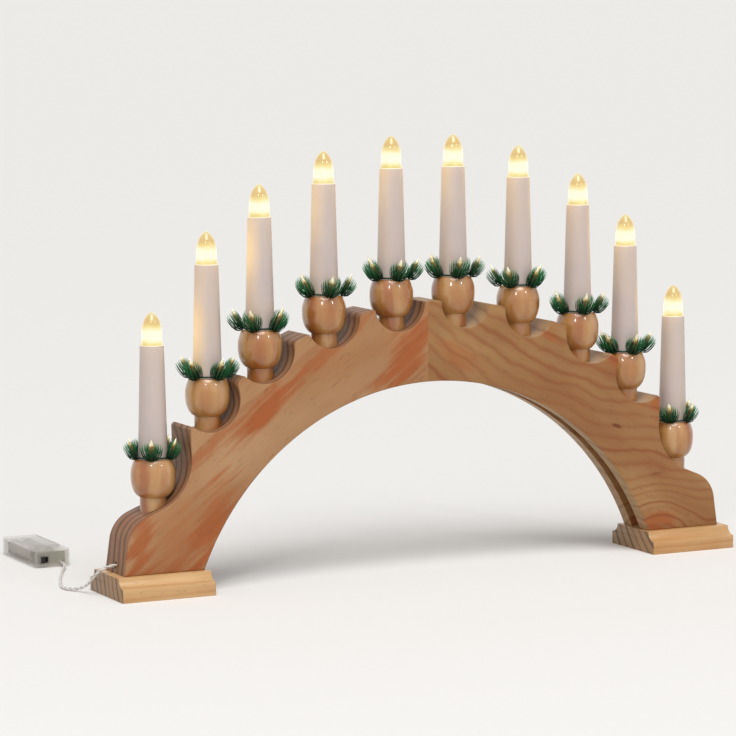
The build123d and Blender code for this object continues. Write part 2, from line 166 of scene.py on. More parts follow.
def addRange(tree, value, low, high, fromLow=0.0, fromHigh=1.0, smooth="LINEAR"):
    inputs = {0: value, 1: fromLow, 2: fromHigh, 3: low, 4: high}
    return addNode(tree, "ShaderNodeMapRange", inputs, interpolation_type=smooth).outputs[0]


def setRough(tree, shader, value, low, high):
    tree.links.new(addRange(tree, value, low, high), shader.inputs["Roughness"])


def setBump(tree, shader, height, strength, distance):
    bump = addNode(tree, "ShaderNodeBump", {"Height": height, "Strength": strength, "Distance": distance})
    tree.links.new(bump.outputs[0], shader.inputs["Normal"])


def giveFinish(piece, finish):
    piece.data.materials.clear()
    piece.data.materials.append(finish)


# floor, world and lamps: plain soft studio light
studio = {
    "floor": tint(238, 236, 233),
    "floorSpeck": tint(241, 239, 236),
    "floorSize": 120.0,
    "worldLight": 0.36,
    "sun": 2.15,
    "sunTurn": (29, 0, -18),
    "sunSoft": 38,
    "softBoxes": [
        ((-1.25, -1.55, 1.35), 0.24, 4.4),
        ((0.75, -1.75, 1.25), 0.18, 2.8),
    ],
    "aim": (0, 0, 0.15),
}


def setStudio():
    clearSelection()
    bpy.ops.mesh.primitive_plane_add(size=studio["floorSize"], location=(0, 0, 0))
    floor = bpy.context.object
    floor.name = "floor"
    finish, tree, shader = newFinish("floorPaper", Roughness=0.95, Specular_IOR_Level=0.1)
    specks = addNoise(tree, addCoords(tree), 900.0, 2.0)[0]
    colour = addRamp(tree, specks, [(0.3, studio["floor"]), (0.7, studio["floorSpeck"])])
    tree.links.new(colour, shader.inputs["Base Color"])
    floor.data.materials.append(finish)
    world = bpy.data.worlds.new("studio")
    bpy.context.scene.world = world
    world.use_nodes = True
    tree = world.node_tree
    light = tree.nodes["Background"]
    light.inputs["Color"].default_value = (1, 1, 1, 1)
    path = addNode(tree, "ShaderNodeLightPath")
    seen = addMath(tree, "MAXIMUM", path.outputs["Is Camera Ray"], path.outputs["Is Glossy Ray"])
    seen = addMath(tree, "MAXIMUM", seen, path.outputs["Is Transmission Ray"])
    tree.links.new(addRange(tree, seen, studio["worldLight"], 1.0), light.inputs["Strength"])
    bpy.ops.object.light_add(type="SUN", rotation=[radians(turn) for turn in studio["sunTurn"]])
    sun = bpy.context.object.data
    sun.energy = studio["sun"]
    sun.angle = radians(studio["sunSoft"])
    for place, size, power in studio["softBoxes"]:
        bpy.ops.object.light_add(type="AREA", location=place)
        lamp = bpy.context.object
        lamp.data.size = size
        lamp.data.energy = power
        back = Vector(place) - Vector(studio["aim"])
        lamp.rotation_euler = back.to_track_quat("Z", "Y").to_euler()
    print("studio set")


setCamera()
setStudio()

# lead from the left end to the battery box: two thin wires twisted together
lead = {
    "route": [
        (-0.24496, 0.0000, 0.0225), (-0.2526, 0.0000, 0.0225), (-0.2596, 0.0026, 0.0190),
        (-0.2622, 0.0092, 0.0124), (-0.2626, 0.0184, 0.0062), (-0.2654, 0.0274, 0.0022),
        (-0.2705, 0.0342, 0.00145), (-0.2723, 0.0436, 0.0014), (-0.2679, 0.0575, 0.0014),
        (-0.2620, 0.0730, 0.0014), (-0.2543, 0.0910, 0.0014), (-0.2464, 0.1080, 0.0016),
        (-0.2380, 0.1225, 0.0034), (-0.2380, 0.1364, 0.0034),
    ],
    "thickness": 0.0026,
    "wire": 0.00064,
    "twist": 0.0105,
    "length": 0.1638,
    "step": 0.0013,
}


def leadFinish():
    finish, tree, shader = newFinish("leadCover", IOR=1.48, Coat_Weight=0.25)
    cloud = addNoise(tree, addCoords(tree), 260.0, 3.0)[0]
    colour = addRamp(tree, cloud, [(0.3, tint(198, 193, 185)), (0.7, tint(222, 218, 211))])
    tree.links.new(colour, shader.inputs["Base Color"])
    setRough(tree, shader, cloud, 0.28, 0.45)
    return finish


def layLine(name, points, bevel=0.0):
    curve = bpy.data.curves.new(name, "CURVE")
    curve.dimensions = "3D"
    curve.resolution_u = 14 if not bevel else 2
    spline = curve.splines.new("NURBS")
    spline.points.add(len(points) - 1)
    for point, place in zip(spline.points, points):
        point.co = (*place, 1)
    spline.order_u = 3
    spline.use_endpoint_u = True
    curve.bevel_depth = bevel
    curve.bevel_resolution = 2
    curve.use_fill_caps = bool(bevel)
    line = bpy.data.objects.new(name, curve)
    bpy.context.scene.collection.objects.link(line)
    return line


def lineMesh(line):
    bpy.context.view_layer.update()
    found = line.evaluated_get(bpy.context.evaluated_depsgraph_get())
    return bpy.data.meshes.new_from_object(found)


def makeLead():
    route = layLine("leadRoute", lead["route"])
    mesh = lineMesh(route)
    path = [vertex.co.copy() for vertex in mesh.vertices]
    bpy.data.objects.remove(route)
    far = [0.0]
    for first, second in zip(path, path[1:]):
        far.append(far[-1] + (second - first).length)
    # even stations along the route
    count = int(far[-1] / lead["step"])
    even = []
    for step in range(count + 1):
        want = far[-1] * step / count
        k = max(i for i in range(len(far) - 1) if far[i] <= want + 1e-9)
        even.append(path[k].lerp(path[k + 1], (want - far[k]) / (far[k + 1] - far[k])))
    side = Vector((0, 0, 1))
    strands = ([], [])
    for k, place in enumerate(even):
        ahead = (even[min(k + 1, count)] - even[max(k - 1, 0)]).normalized()
        side = (side - ahead * side.dot(ahead)).normalized()
        angle = 2 * pi * (far[-1] * k / count) / lead["twist"]
        for turn, strand in enumerate(strands):
            swing = Matrix.Rotation(angle + pi * turn, 3, ahead) @ side
            strand.append(place + swing * lead["wire"])
    lines = [layLine("leadWire", strand, lead["wire"]) for strand in strands]
    selectOnly(*lines)
    bpy.ops.object.convert(target="MESH")
    bpy.ops.object.join()
    piece = bpy.context.object
    piece.name = piece.data.name = "twistedLead"
    bpy.ops.object.shade_smooth()
    giveFinish(piece, leadFinish())
    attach(piece, "arch")
    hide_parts("battery_lead")
    print("lead laid,", round(far[-1], 4), "m")


makeLead()


# pine cut from a log: rings round a pith that lies along the grain
def pineFinish(name, wood):
    finish, tree, shader = newFinish(name, IOR=1.5, Specular_IOR_Level=wood["shine"],
                                     Coat_Weight=wood["coat"], Coat_Roughness=wood["coatRough"])
    coords = addCoords(tree)
    log = addNode(tree, "ShaderNodeMapping", {"Vector": coords, "Location": wood["pith"]})
    log.inputs["Rotation"].default_value = [radians(turn) for turn in wood["turn"]]
    log = log.outputs[0]  # grain along X
    evenly = (0.5, 0.5, 0.5)
    drift = addNoise(tree, addStretch(tree, log, wood["driftScale"]), 1.0, 3.0)["Color"]
    drift = addVector(tree, "MULTIPLY", addVector(tree, "SUBTRACT", drift, evenly), wood["drift"])
    along = addNode(tree, "ShaderNodeSeparateXYZ", {0: addVector(tree, "ADD", log, drift)}).outputs
    bowed = addMath(tree, "MULTIPLY", addMath(tree, "MULTIPLY", along["X"], along["X"]), wood["bow"])
    bowed = addMath(tree, "ADD", along["Z"], bowed)
    flat = addNode(tree, "ShaderNodeCombineXYZ", {"Y": along["Y"], "Z": bowed}).outputs[0]
    reach = addVector(tree, "LENGTH", flat)
    for place, width, push in wood.get("knots", []):  # the grain swirls round a knot
        near = addVector(tree, "DISTANCE", coords, place)
        swell = addRange(tree, near, 0.0, push, width, 0.0, "SMOOTHERSTEP")
        reach = addMath(tree, "ADD", reach, swell)
    rings = addMath(tree, "DIVIDE", reach, wood["spacing"])
    phase = addMath(tree, "FRACT", rings)
    year = addMath(tree, "FLOOR", rings)
    chance = addNode(tree, "ShaderNodeTexWhiteNoise", {"W": year}, noise_dimensions="1D")
    depth = addRange(tree, chance.outputs["Value"], wood["ringLow"], 1.0)
    late = addMath(tree, "MULTIPLY", addRamp(tree, phase, wood["ring"], "EASE"), depth)
    cloud = addNoise(tree, addStretch(tree, log, wood["cloudScale"]), 1.0, 3.0)[0]
    body = addRamp(tree, cloud, [(0.34, wood["pale"]), (0.52, wood["mid"]), (0.70, wood["warm"])])
    # warm patches and small dark marks, with uneven edges
    streaks = addNoise(tree, addStretch(tree, log, wood["streakScale"]), 1.0, 4.0)[0]
    feather = addRange(tree, streaks, -0.45, 0.45, 0.3, 0.7)
    wobble = addVector(tree, "SUBTRACT", addNoise(tree, coords, 55.0, 4.0)["Color"], evenly)
    for kind, spots in (("patch", wood["patches"]), ("mark", wood["marks"])):
        sway = addNode(tree, "ShaderNodeVectorMath", {0: wobble}, operation="SCALE")
        sway.inputs["Scale"].default_value = wood["sway"][kind]
        loose = addVector(tree, "ADD", coords, sway.outputs[0])
        for across, up, half, width, turn, strength in spots:
            spot = addNode(tree, "ShaderNodeMapping", {"Vector": loose}, vector_type="TEXTURE")
            spot.inputs["Location"].default_value = (across, 0, up)
            spot.inputs["Rotation"].default_value = (0, radians(-turn), 0)
            spot.inputs["Scale"].default_value = (half, 100, width)
            near = addMath(tree, "ADD", addVector(tree, "LENGTH", spot.outputs[0]), feather)
            share = addRange(tree, near, 0.0, strength, 1.0, 0.2, "SMOOTHSTEP")
            body = addMix(tree, share, body, wood[kind])
    colour = addMix(tree, late, body, wood["late"])
    # cut ends and edges: end grain with stronger rings; their colours also hold painted shading, darker ends
    # on the left board and the feet, paler scallop walls on the right board
    line = addMath(tree, "MULTIPLY", addRamp(tree, phase, wood["endRing"], "EASE"), depth)
    cut = addMix(tree, line, addMix(tree, 0.35, wood["endBodyAndShading"], body), wood["endLineAndShading"])
    colour = addMix(tree, addTally(tree, "end"), colour, cut)
    fibre = addNoise(tree, addStretch(tree, log, wood["fibreScale"]), 1.0, 4.0)[0]
    streak = addRamp(tree, fibre, [(0.28, grey(0.80)), (0.5, grey(0.97)), (0.7, grey(1.0))])
    colour = addMix(tree, wood["fibre"], colour, streak, "MULTIPLY")
    fleck = addNoise(tree, addStretch(tree, log, wood["fleckScale"]), 1.0, 2.0)[0]
    fleck = addRamp(tree, fleck, [(0.66, grey(0)), (0.74, grey(1))])
    colour = addMix(tree, addMath(tree, "MULTIPLY", fleck, wood["fleck"]), colour, wood["mark"])
    tree.links.new(colour, shader.inputs["Base Color"])
    setRough(tree, shader, fibre, wood["rough"] + 0.1, wood["rough"] - 0.06)
    ridges = addMath(tree, "MULTIPLY", late, 0.5)
    relief = addMath(tree, "ADD", addMath(tree, "MULTIPLY", fibre, 0.6), ridges)
    setBump(tree, shader, relief, wood["relief"], 0.0004)
    return finish


# cut ends and edges of a board show their rings more strongly, and take painted shading in their colours; 1
# on them and 0 on its faces
def tallyEnds(form, share):
    end = form.data.attributes.new("end", "FLOAT", "FACE")
    for face in form.data.polygons:
        end.data[face.index].value = share(face.normal)


leftPine = {
    "turn": (0, 38, 0), "pith": (0.0, -0.066, -0.172), "spacing": 0.0088, "bow": 0.0,
    "drift": (0.0, 0.010, 0.016), "driftScale": (7.0, 16.0, 16.0), "cloudScale": (9, 26, 26),
    "streakScale": (18, 210, 210), "fibreScale": (55, 1500, 1500), "fleckScale": (130, 850, 850),
    "ring": [(0.0, grey(0.03)), (0.4, grey(0.0)), (0.75, grey(0.3)), (0.9, grey(0.55)), (1.0, grey(0.06))],
    "ringLow": 0.4, "pale": tint(178, 139, 101), "mid": tint(167, 125, 86), "warm": tint(161, 111, 71),
    "late": tint(150, 84, 46), "fibre": 0.6, "fleck": 0.4,
    "endRing": [(0.0, grey(0.25)), (0.25, grey(0.0)), (0.6, grey(0.15)), (0.84, grey(1.0)),
                (1.0, grey(0.6))],
    "endBodyAndShading": tint(134, 97, 72), "endLineAndShading": tint(72, 42, 28),
    # patches and marks: across, up, half length, half width, turn, strength
    "patch": tint(162, 90, 48), "sway": {"patch": 0.018, "mark": 0.002}, "mark": tint(96, 54, 34),
    "patches": [
        (-0.205, 0.036, 0.062, 0.044, 60, 0.3), (-0.236, 0.040, 0.036, 0.013, 80, 0.85),
        (-0.180, 0.050, 0.048, 0.021, 66, 0.9), (-0.212, 0.022, 0.030, 0.008, 8, 0.4),
        (-0.142, 0.127, 0.044, 0.012, 38, 1.0), (-0.178, 0.108, 0.040, 0.008, 38, 0.6),
        (-0.092, 0.166, 0.055, 0.007, 34, 0.65),
        (-0.020, 0.165, 0.045, 0.017, 56, 0.95), (-0.042, 0.146, 0.020, 0.008, 30, 0.7),
    ],
    "marks": [], "rough": 0.46, "relief": 0.18, "shine": 0.2, "coat": 0.04, "coatRough": 0.3,
}
rightPine = dict(
    leftPine, turn=(0, -27, 0), pith=(0.0, -0.045, 0.105), spacing=0.0094, bow=-1.27,
    drift=(0.0, 0.008, 0.026), driftScale=(15.0, 18.0, 18.0), ringLow=0.25,
    ring=[(0.0, grey(0.25)), (0.22, grey(0.0)), (0.55, grey(0.1)), (0.82, grey(0.8)), (1.0, grey(0.4))],
    knots=[((0.1947, -0.018, 0.017), 0.052, -0.03)],
    pale=tint(167, 127, 83), mid=tint(155, 114, 72), warm=tint(149, 101, 63), late=tint(134, 70, 40),
    endBodyAndShading=tint(176, 148, 112), endLineAndShading=tint(136, 102, 72),
    patches=[
        (0.157, 0.149, 0.015, 0.009, -50, 0.8), (0.194, 0.112, 0.013, 0.008, -70, 0.8),
        (0.100, 0.174, 0.014, 0.007, -30, 0.6), (0.195, 0.024, 0.022, 0.010, 10, 0.8),
        (0.016, 0.163, 0.040, 0.010, -30, 0.5),
    ],
    marks=[(0.1573, 0.0997, 0.0050, 0.0016, -22, 0.95), (0.190, 0.060, 0.012, 0.0022, 5, 0.5)],
)
footPine = dict(
    leftPine, turn=(0, 0, 0), pith=(0.0, 0.10, -0.038), spacing=0.0078, drift=(0.0, 0.005, 0.005),
    driftScale=(4.0, 20.0, 20.0), pale=tint(212, 173, 123), mid=tint(197, 154, 103), warm=tint(186, 133, 78),
    late=tint(168, 110, 60), endBodyAndShading=tint(138, 104, 72), endLineAndShading=tint(58, 34, 18),
    shine=0.4, coat=0.15, coatRough=0.22, rough=0.4, patches=[],
)
otherFootPine = dict(footPine, pith=(0.0, 0.08, -0.075))
ballPine = dict(
    leftPine, turn=(0, 90, 0), pith=(0.0, 0.03, 0.0), spacing=0.0145, drift=(0.0, 0.022, 0.022),
    driftScale=(9.0, 40.0, 40.0), cloudScale=(16, 60, 60), pale=tint(198, 154, 101), mid=tint(178, 126, 69),
    warm=tint(164, 101, 42), late=tint(153, 79, 27), coat=0.9, coatRough=0.05, rough=0.32,
    relief=0.05, ringLow=0.0, shine=0.5, fibre=0.4, patches=[],
    ring=[(0.0, grey(0.1)), (0.2, grey(0.0)), (0.42, grey(0.15)), (0.66, grey(0.8)),
          (0.86, grey(0.75)), (1.0, grey(0.1))],
)


def plainFinish(name, colour, other, rough, scale=300.0, **sockets):
    finish, tree, shader = newFinish(name, **sockets)
    cloud = addNoise(tree, addCoords(tree), scale, 4.0)[0]
    mixed = addRamp(tree, cloud, [(0.35, colour), (0.65, other)])
    tree.links.new(mixed, shader.inputs["Base Color"])
    setRough(tree, shader, cloud, rough - 0.05, rough + 0.08)
    setBump(tree, shader, cloud, 0.04, 0.0003)
    return finish


def topMiddle(low, high):
    return Vector(((low.x + high.x) / 2, (low.y + high.y) / 2, high.z))


# see-through plastic of the battery box, with a painted highlight that makes it paler along its edges
clear = {"alpha": 0.27, "edge": 0.003, "dish": 0.005, "shine": tint(255, 255, 255)}


def caseFinish(low, high):
    finish, tree, shader = newFinish("caseClearWithPaintedHighlight", IOR=1.45, Roughness=0.1, Alpha=clear["alpha"])
    coords = addCoords(tree)
    middle, half = (low + high) / 2, (high - low) / 2
    place = addVector(tree, "ABSOLUTE", addVector(tree, "SUBTRACT", coords, middle))
    depth = addVector(tree, "SUBTRACT", half, place)
    across, along, up = addNode(tree, "ShaderNodeSeparateXYZ", {0: depth}).outputs
    edge = addMath(tree, "MAXIMUM", across, along)
    edge = addMath(tree, "MINIMUM", edge, addMath(tree, "MAXIMUM", along, up))
    edge = addMath(tree, "MINIMUM", edge, addMath(tree, "MAXIMUM", across, up))  # second least depth
    edge = addMath(tree, "DIVIDE", edge, clear["edge"])
    # painted highlight: paler towards the edges
    stops = [(0.2, tint(238, 234, 228)), (0.6, tint(212, 206, 198)), (1.0, tint(196, 189, 180))]
    colour = addRamp(tree, edge, stops)
    # painted highlight in the thumb dish of the lid and along its rim
    dish = topMiddle(*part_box("battery_lid"))
    away = addMath(tree, "DIVIDE", addVector(tree, "DISTANCE", coords, dish), clear["dish"])
    stops = [(0.2, grey(1)), (0.45, grey(0)), (0.68, grey(0)), (0.82, grey(1)), (0.95, grey(0))]
    colour = addMix(tree, addRamp(tree, away, stops), colour, clear["shine"])
    tree.links.new(colour, shader.inputs["Base Color"])
    return finish


def dress(finish, *names):
    for name in names:
        giveFinish(nodes[name], finish)


numbers = ["%02d" % n for n in range(1, 11)]


def dressNodes():
    dress(plainFinish("dowelBeech", tint(205, 168, 122), tint(190, 150, 104), 0.6), "board_dowels")
    steel = dict(Metallic=1.0)
    screw = plainFinish("screwSteel", tint(176, 176, 172), tint(150, 150, 148), 0.32, 900.0, **steel)
    dress(screw, "foot_screws")
    dress(plainFinish("ledLens", tint(255, 244, 205), tint(255, 240, 190), 0.2), "leds")
    dress(plainFinish("loomCover", tint(205, 200, 192), tint(190, 186, 178), 0.4), "wire_loom")
    dress(caseFinish(*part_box("battery_case")), "battery_case", "battery_lid")
    dress(plainFinish("switchBlack", tint(18, 18, 19), tint(26, 26, 27), 0.42), "switch_slider")
    dress(plainFinish("switchSteel", tint(74, 71, 67), tint(64, 62, 59), 0.4), "switch_body")
    dress(plainFinish("circuitGreen", tint(132, 138, 108), tint(142, 147, 118), 0.4), "switch_board")
    dress(plainFinish("cellWrap", tint(178, 172, 164), tint(190, 184, 176), 0.3), "aaa_cells")
    nickel = plainFinish("contactNickel", tint(198, 194, 184), tint(182, 178, 168), 0.26, **steel)
    dress(nickel, "front_contacts", "rear_contact")
    print("nodes dressed")


dressNodes()


def turnForm(name, steps, sides, closed=True):
    clearSelection()
    radius, height = steps[0]
    fill = "NGON" if closed else "NOTHING"
    place = (0, 0, height)
    bpy.ops.mesh.primitive_circle_add(vertices=sides, radius=radius, fill_type=fill, location=place)
    form = bpy.context.object
    form.name = form.data.name = name
    bpy.ops.object.transform_apply(location=True)
    bpy.ops.object.mode_set(mode="EDIT")
    bpy.ops.mesh.select_mode(type="VERT")
    bpy.ops.mesh.select_all(action="SELECT")
    for nextRadius, nextHeight in steps[1:]:
        bpy.ops.mesh.extrude_region_move(TRANSFORM_OT_translate={"value": (0, 0, nextHeight - height)})
        bpy.ops.transform.resize(value=(nextRadius / radius, nextRadius / radius, 1))
        radius, height = nextRadius, nextHeight
    bpy.ops.mesh.select_all(action="SELECT")
    bpy.ops.mesh.normals_make_consistent(inside=False)
    bpy.ops.object.mode_set(mode="OBJECT")
    return form


def joinPieces(pieces, name):
    selectOnly(*pieces)
    bpy.ops.object.join()
    whole = bpy.context.object
    whole.name = whole.data.name = name
    return whole


def finishForm(form, angle):
    selectOnly(form)
    bpy.ops.object.shade_smooth_by_angle(angle=radians(angle))


def placeCopy(form, name, move):
    piece = form.copy()
    piece.data = form.data.copy()
    piece.name = piece.data.name = name
    bpy.context.scene.collection.objects.link(piece)
    piece.data.transform(move)
    return piece


# circles that meet, for the rounded corners of the outline; all in mm
def meet(centre, radius, other, otherRadius, outer):
    way = other - centre
    gap = way.length
    along = (gap * gap + radius * radius - otherRadius * otherRadius) / (2 * gap)
    up = max(radius * radius - along * along, 0) ** 0.5
    way.normalize()
    foot = centre + way * along
    both = [foot + Vector((-way.y, way.x)) * up, foot - Vector((-way.y, way.x)) * up]
    return (max if outer else min)(both, key=lambda point: point.x)


arch = {
    "thickness": 36.0, "crown": (202.6, 272.0), "span": (143.0, 200.0), "joint": -4.5,
    # scallops from the middle out: across, lowest point, radius, rounding of the inner and outer corner
    "scallops": [
        (27.6, 181.17, 20.5, 0.9, 0.9), (82.3, 171.53, 21.5, 4.0, 0.9),
        (136.8, 148.98, 23.5, 4.0, 0.9), (179.8, 116.30, 23.0, 4.0, 0.82),
    ],
    "endScallop": (232.4, 60.1, 37.0), "endNose": 1.22, "wallLean": 2.0,
    "shoulder": (21.8, 24.0), "legEnd": (248.7, 16.65), "legLean": 8.2,
    # groove as (width, depth), lead hole as (across, up, radius)
    "groove": (12.0, 14.0), "leadHole": (-228.0, 22.5, 2.5), "socket": 9.9,
    "arcStep": 1.6, "cutDepth": 0.06, "edge": 0.0008, "same": 1e-6,
}


def archOutline():
    top, crownRadius = arch["crown"]
    crown = Vector((0, top - crownRadius))
    moves = []  # each is (centre of an arc or nothing, end point)
    for across, low, radius, innerRound, outerRound in arch["scallops"]:
        bite = Vector((across, low + radius))
        for rounding, outer in ((innerRound, False), (outerRound, True)):
            corner = meet(crown, crownRadius - rounding, bite, radius + rounding, outer)
            onCrown = crown + (corner - crown).normalized() * crownRadius
            onBite = bite + (corner - bite).normalized() * radius
            if outer:
                moves += [(bite, onBite), (corner, onCrown)]
            else:
                moves += [(crown, onCrown), (corner, onBite)]
    across, low, radius = arch["endScallop"]
    lean = radians(arch["wallLean"])
    bite = Vector((across, low + radius))
    wallFoot = bite + Vector((-cos(lean), sin(lean))) * radius
    wall, side = Vector((sin(lean), cos(lean))), Vector((-cos(lean), sin(lean)))
    nose = arch["endNose"]
    start = wallFoot + side * nose - crown
    ahead = start.dot(wall)
    reach = -ahead + (ahead ** 2 - start.dot(start) + (crownRadius - nose) ** 2) ** 0.5
    corner = crown + start + wall * reach
    onCrown = crown + (corner - crown).normalized() * crownRadius
    moves += [(crown, onCrown), (corner, corner - side * nose), (None, wallFoot)]
    slope, bend = radians(arch["shoulder"][0]), arch["shoulder"][1]
    curlEnd = bite + Vector((-sin(slope), -cos(slope))) * radius
    legEnd, tilt = Vector(arch["legEnd"]), radians(arch["legLean"])
    downSlope, downEnd = Vector((cos(slope), -sin(slope))), Vector((sin(tilt), -cos(tilt)))
    gap = legEnd - curlEnd
    turn = downSlope.angle(downEnd)
    run = (gap.y * downEnd.x - gap.x * downEnd.y) / sin(turn)
    bendStart = curlEnd + downSlope * (run - bend * tan(turn / 2))
    bendMid = bendStart + Vector((-sin(slope), -cos(slope))) * bend
    bendEnd = bendMid + Vector((cos(tilt), sin(tilt))) * bend
    moves += [(bite, curlEnd), (None, bendStart), (bendMid, bendEnd), (None, legEnd)]
    spanTop, spanRadius = arch["span"]
    spanMid = Vector((0, spanTop - spanRadius))
    low = legEnd.y
    spanFoot = Vector(((spanRadius ** 2 - (low - spanMid.y) ** 2) ** 0.5, low))
    moves += [(None, spanFoot), (spanMid, Vector((0, spanTop)))]
    return Vector((0, top)), moves


def drawOutline(start, moves):
    clearSelection()
    half = arch["thickness"] / 2000
    bpy.ops.mesh.primitive_plane_add(size=0.01, location=(start.x / 1000, -half, start.y / 1000))
    form = bpy.context.object
    bpy.ops.object.transform_apply(location=True)
    bpy.ops.object.mode_set(mode="EDIT")
    bpy.ops.mesh.select_mode(type="VERT")
    bpy.ops.mesh.select_all(action="SELECT")
    bpy.ops.mesh.merge(type="CENTER")
    here = start
    for centre, end in moves:
        if centre is None:
            step = (end - here) / 1000
            bpy.ops.mesh.extrude_vertices_move(TRANSFORM_OT_translate={"value": (step.x, 0, step.y)})
        else:
            first, second = here - centre, end - centre
            angle = atan2(first.x * second.y - first.y * second.x, first.dot(second))
            steps = 5
            if first.length > 5:
                steps = max(3, ceil(abs(angle) * first.length / arch["arcStep"]))
            middle = (centre.x / 1000, -half, centre.y / 1000)
            bpy.ops.mesh.spin(steps=steps, angle=angle, center=middle, axis=(0, 1, 0))
        here = end
    bpy.ops.object.mode_set(mode="OBJECT")
    return form


def pickFaces(form, test):
    bpy.ops.object.mode_set(mode="EDIT")
    bpy.ops.mesh.select_mode(type="FACE")
    bpy.ops.mesh.select_all(action="DESELECT")
    bpy.ops.object.mode_set(mode="OBJECT")
    for face in form.data.polygons:
        face.select = test(face)
    bpy.ops.object.mode_set(mode="EDIT")


def pickEdges(form, test):
    bpy.ops.object.mode_set(mode="EDIT")
    bpy.ops.mesh.select_mode(type="EDGE")
    bpy.ops.mesh.select_all(action="DESELECT")
    bpy.ops.object.mode_set(mode="OBJECT")
    spots = form.data.vertices
    for edge in form.data.edges:
        edge.select = test(spots[edge.vertices[0]].co, spots[edge.vertices[1]].co)
    bpy.ops.object.mode_set(mode="EDIT")


def cutAway(form, cutter):
    selectOnly(form)
    bpy.ops.object.modifier_add(type="BOOLEAN")
    form.modifiers[-1].operation = "DIFFERENCE"
    form.modifiers[-1].object = cutter
    form.modifiers[-1].solver = "EXACT"
    bpy.ops.object.modifier_apply(modifier=form.modifiers[-1].name)
    bpy.data.objects.remove(cutter)


def makeBoard(outline, name, keepLeft):
    board = placeCopy(outline, name, Matrix.Identity(4))
    selectOnly(board)
    half, joint = arch["thickness"] / 2000, arch["joint"] / 1000
    bpy.ops.object.mode_set(mode="EDIT")
    bpy.ops.mesh.select_mode(type="VERT")
    bpy.ops.mesh.select_all(action="SELECT")
    bpy.ops.mesh.bisect(plane_co=(joint, 0, 0), plane_no=(1, 0, 0),
                        clear_outer=keepLeft, clear_inner=not keepLeft)
    bpy.ops.mesh.select_all(action="SELECT")
    bpy.ops.mesh.edge_face_add()
    groove = arch["groove"][0] / 2000
    for step in (half - groove, 2 * groove, half - groove):
        bpy.ops.mesh.extrude_region_move(TRANSFORM_OT_translate={"value": (0, step, 0)})
    bpy.ops.mesh.select_all(action="SELECT")
    bpy.ops.mesh.normals_make_consistent(inside=False)
    bpy.ops.object.mode_set(mode="OBJECT")
    # wiring groove along the middle of the span
    spanTop, spanRadius = arch["span"]
    spanMid = Vector((0, 0, (spanTop - spanRadius) / 1000))

    def underSpan(face):
        off = (face.center - spanMid).length - spanRadius / 1000
        return abs(face.center.y) < 0.001 and abs(off) < 0.001 and abs(face.normal.y) < 0.1
    pickFaces(board, underSpan)
    sink = {"value": -arch["groove"][1] / 1000}
    bpy.ops.mesh.extrude_region_shrink_fatten(TRANSFORM_OT_shrink_fatten=sink)
    bpy.ops.object.mode_set(mode="OBJECT")
    # sockets of the holders and the hole for the lead
    cutters, deep = [], arch["cutDepth"]
    for number in numbers:
        low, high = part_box("holder_" + number)
        across = (low.x + high.x) / 2
        if (across < joint) == keepLeft:
            clearSelection()
            bpy.ops.mesh.primitive_cylinder_add(vertices=40, radius=arch["socket"] / 1000, depth=deep,
                                                location=(across, 0, low.z + deep / 2))
            cutters.append(bpy.context.object)
    if keepLeft:
        clearSelection()
        across, up, radius = arch["leadHole"]
        bpy.ops.mesh.primitive_cylinder_add(vertices=24, radius=radius / 1000, depth=deep,
                                            location=(across / 1000, 0, up / 1000),
                                            rotation=(0, pi / 2, 0))
        cutters.append(bpy.context.object)
    cutAway(board, joinPieces(cutters, "cutters"))

    def onFace(a, b):
        flat = abs(abs(a.y) - half) < arch["same"] and abs(a.y - b.y) < arch["same"]
        return flat and max(abs(a.x - joint), abs(b.x - joint)) > arch["same"]
    pickEdges(board, onFace)
    bpy.ops.mesh.bevel(offset=arch["edge"], segments=3)
    bpy.ops.object.mode_set(mode="OBJECT")
    return board


def makeArch():
    outline = drawOutline(*archOutline())
    bpy.ops.object.modifier_add(type="MIRROR")
    outline.modifiers[-1].merge_threshold = 0.00002
    bpy.ops.object.modifier_apply(modifier=outline.modifiers[-1].name)
    for name, node, keepLeft, wood in (("leftBoard", "arch_left_board", True, leftPine),
                                       ("rightBoard", "arch_right_board", False, rightPine)):
        board = makeBoard(outline, name, keepLeft)
        giveFinish(board, pineFinish(name + "Pine", wood))
        tallyEnds(board, lambda normal: 1 - abs(normal.y))
        finishForm(board, 30)
        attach(board, "arch")
        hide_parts(node)
        print(name, "made,", len(board.data.polygons), "faces")
    bpy.data.objects.remove(outline)


makeArch()

foot = {
    "length": 0.0721, "depth": 0.0621, "band": 0.0099, "coveHigh": 0.00675, "coveDeep": 0.0079,
    "steps": 9, "edge": 0.00045, "crease": 28,
}


